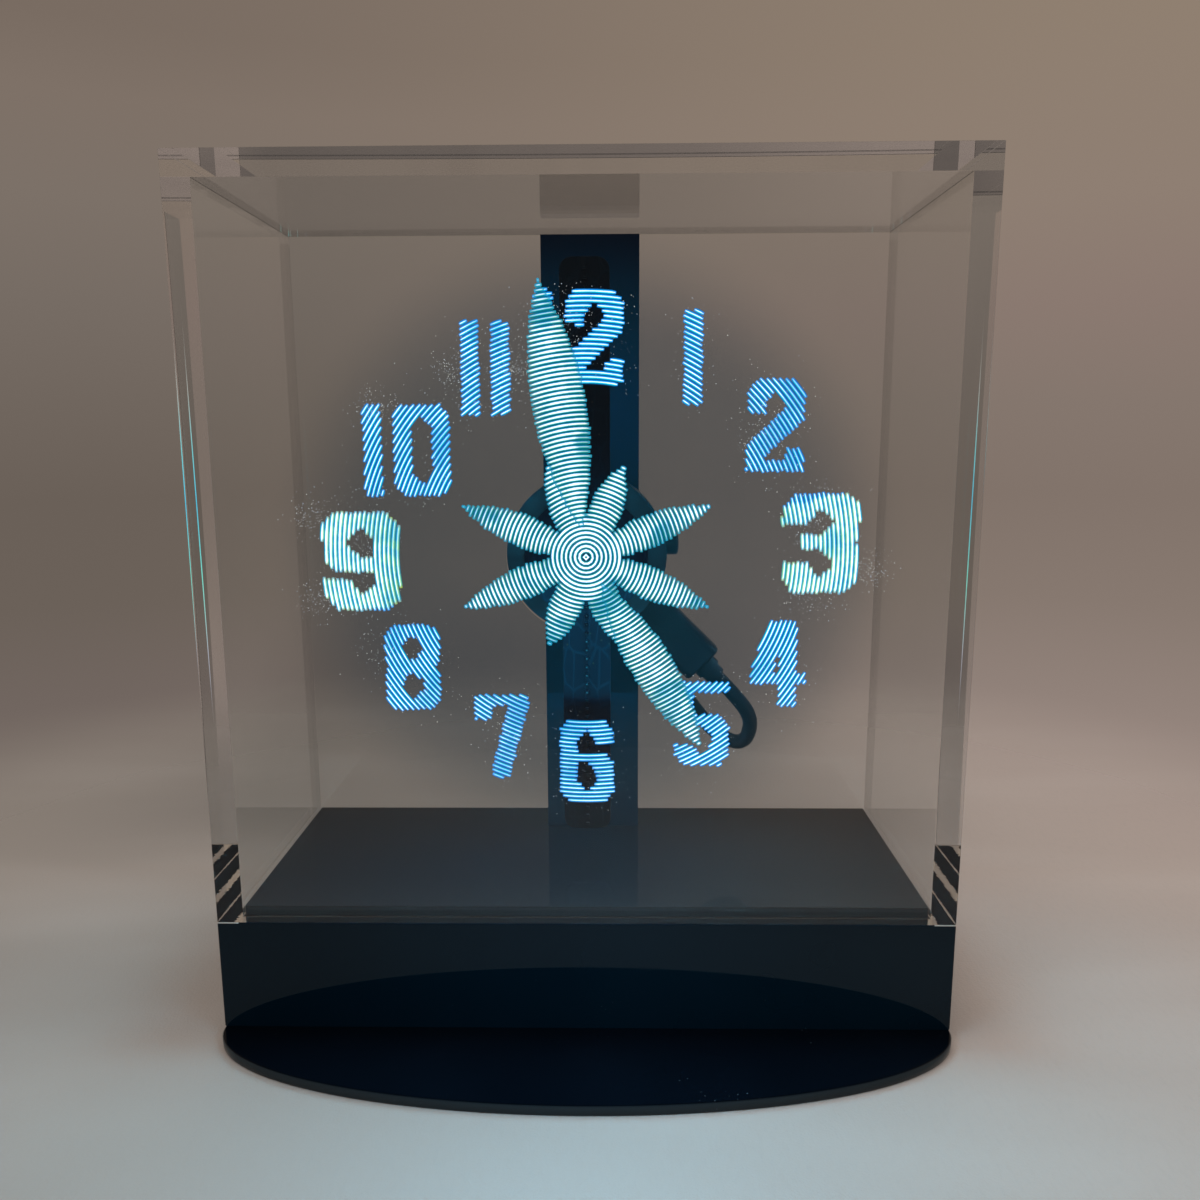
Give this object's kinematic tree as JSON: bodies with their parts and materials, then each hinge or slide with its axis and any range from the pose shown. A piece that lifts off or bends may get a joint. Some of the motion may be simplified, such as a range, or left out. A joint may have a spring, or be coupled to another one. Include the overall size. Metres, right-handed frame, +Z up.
{
  "type": "mystery clock",
  "caption": "Table clock whose spinning lamp bar draws glowing numerals and hands in the air, inside a clear lift-off case on a black oval-fronted base.",
  "frame": {"origin": "middle of the foot plate's underside, on the surface the clock stands on", "axes": "+Z up, the dial faces -Y, +X to the viewer's right; the spinning bar turns about a line along Y at z 129.5 mm"},
  "size_m": [0.2, 0.145, 0.232],
  "materials": {
    "black_acrylic": "gloss",
    "clear_acrylic": "gloss",
    "hub_plastic": "satin",
    "steel": "satin",
    "aluminium": "satin",
    "core_steel": "satin",
    "copper": "gloss",
    "magnet": "gloss",
    "circuit_board": "satin",
    "chip_plastic": "matte",
    "lamp": "gloss",
    "lead_sheath": "satin",
    "nylon": "satin",
    "dial_light": "gloss",
    "screw_steel": "satin"
  },
  "bodies": {
    "base": {"base_deck": "black_acrylic", "base_front": "black_acrylic", "base_left": "black_acrylic", "base_rear": "black_acrylic", "base_right": "black_acrylic", "bearings": "steel", "board_screws": "steel", "board_standoffs": "nylon", "button_switch": "chip_plastic", "control_board": "circuit_board", "control_chips": "chip_plastic", "corner_blocks": "black_acrylic", "dial_numerals": "dial_light", "dial_rosette": "dial_light", "foot_plate": "black_acrylic", "foot_screws": "screw_steel", "hub_back": "hub_plastic", "hub_screws": "screw_steel", "hub_shell": "hub_plastic", "hub_socket": "steel", "index_magnet": "magnet", "lead_clips": "nylon", "lead_header": "nylon", "lead_sleeve": "nylon", "motor_base": "aluminium", "motor_screws": "steel", "mount_screws": "screw_steel", "plinth": "black_acrylic", "plug_body": "lead_sheath", "plug_relief": "lead_sheath", "plug_tongue": "steel", "post": "black_acrylic", "post_screws": "screw_steel", "power_board": "circuit_board", "power_chip": "chip_plastic", "power_inlet": "steel", "power_lead": "lead_sheath", "sender_coil": "copper", "stator_coils": "copper", "stator_core": "core_steel"},
    "case": {"case_front": "clear_acrylic", "case_left": "clear_acrylic", "case_rear": "clear_acrylic", "case_right": "clear_acrylic", "case_top": "clear_acrylic"},
    "rotor": {"rotor_bell": "aluminium", "rotor_magnets": "magnet", "rotor_shaft": "steel", "shaft_clip": "steel", "rotor_spacer": "nylon", "rotor_board": "circuit_board", "rotor_lamps": "lamp", "rotor_chips": "chip_plastic", "receiver_coil": "copper", "index_sensor": "chip_plastic", "rotor_screws": "steel"},
    "button": {"power_button": "hub_plastic"},
    "minute_image": {"minute_hand": "dial_light"},
    "hour_image": {"hour_hand": "dial_light"}
  },
  "joints": [
    {"name": "rotor_spin", "type": "hinge", "parent": "base", "child": "rotor", "pos_m": [0, 0, 0.1295], "axis": [0, 1, 0], "continuous": true},
    {"name": "minute_turn", "type": "hinge", "parent": "base", "child": "minute_image", "pos_m": [0, 0, 0.1295], "axis": [0, 1, 0], "continuous": true},
    {"name": "hour_turn", "type": "hinge", "parent": "base", "child": "hour_image", "pos_m": [0, 0, 0.1295], "axis": [0, 1, 0], "continuous": true},
    {"name": "case_lift", "type": "slide", "parent": "base", "child": "case", "axis": [0, 0, 1], "range_m": [0, 0.2]},
    {"name": "button_press", "type": "slide", "parent": "base", "child": "button", "axis": [-1, 0, 0], "range_m": [0, 0.0008], "stiffness_N_per_m": 300}
  ],
  "couplings": [
    {"joint": "hour_turn", "follows": "minute_turn", "ratio": 0.083333}
  ]
}
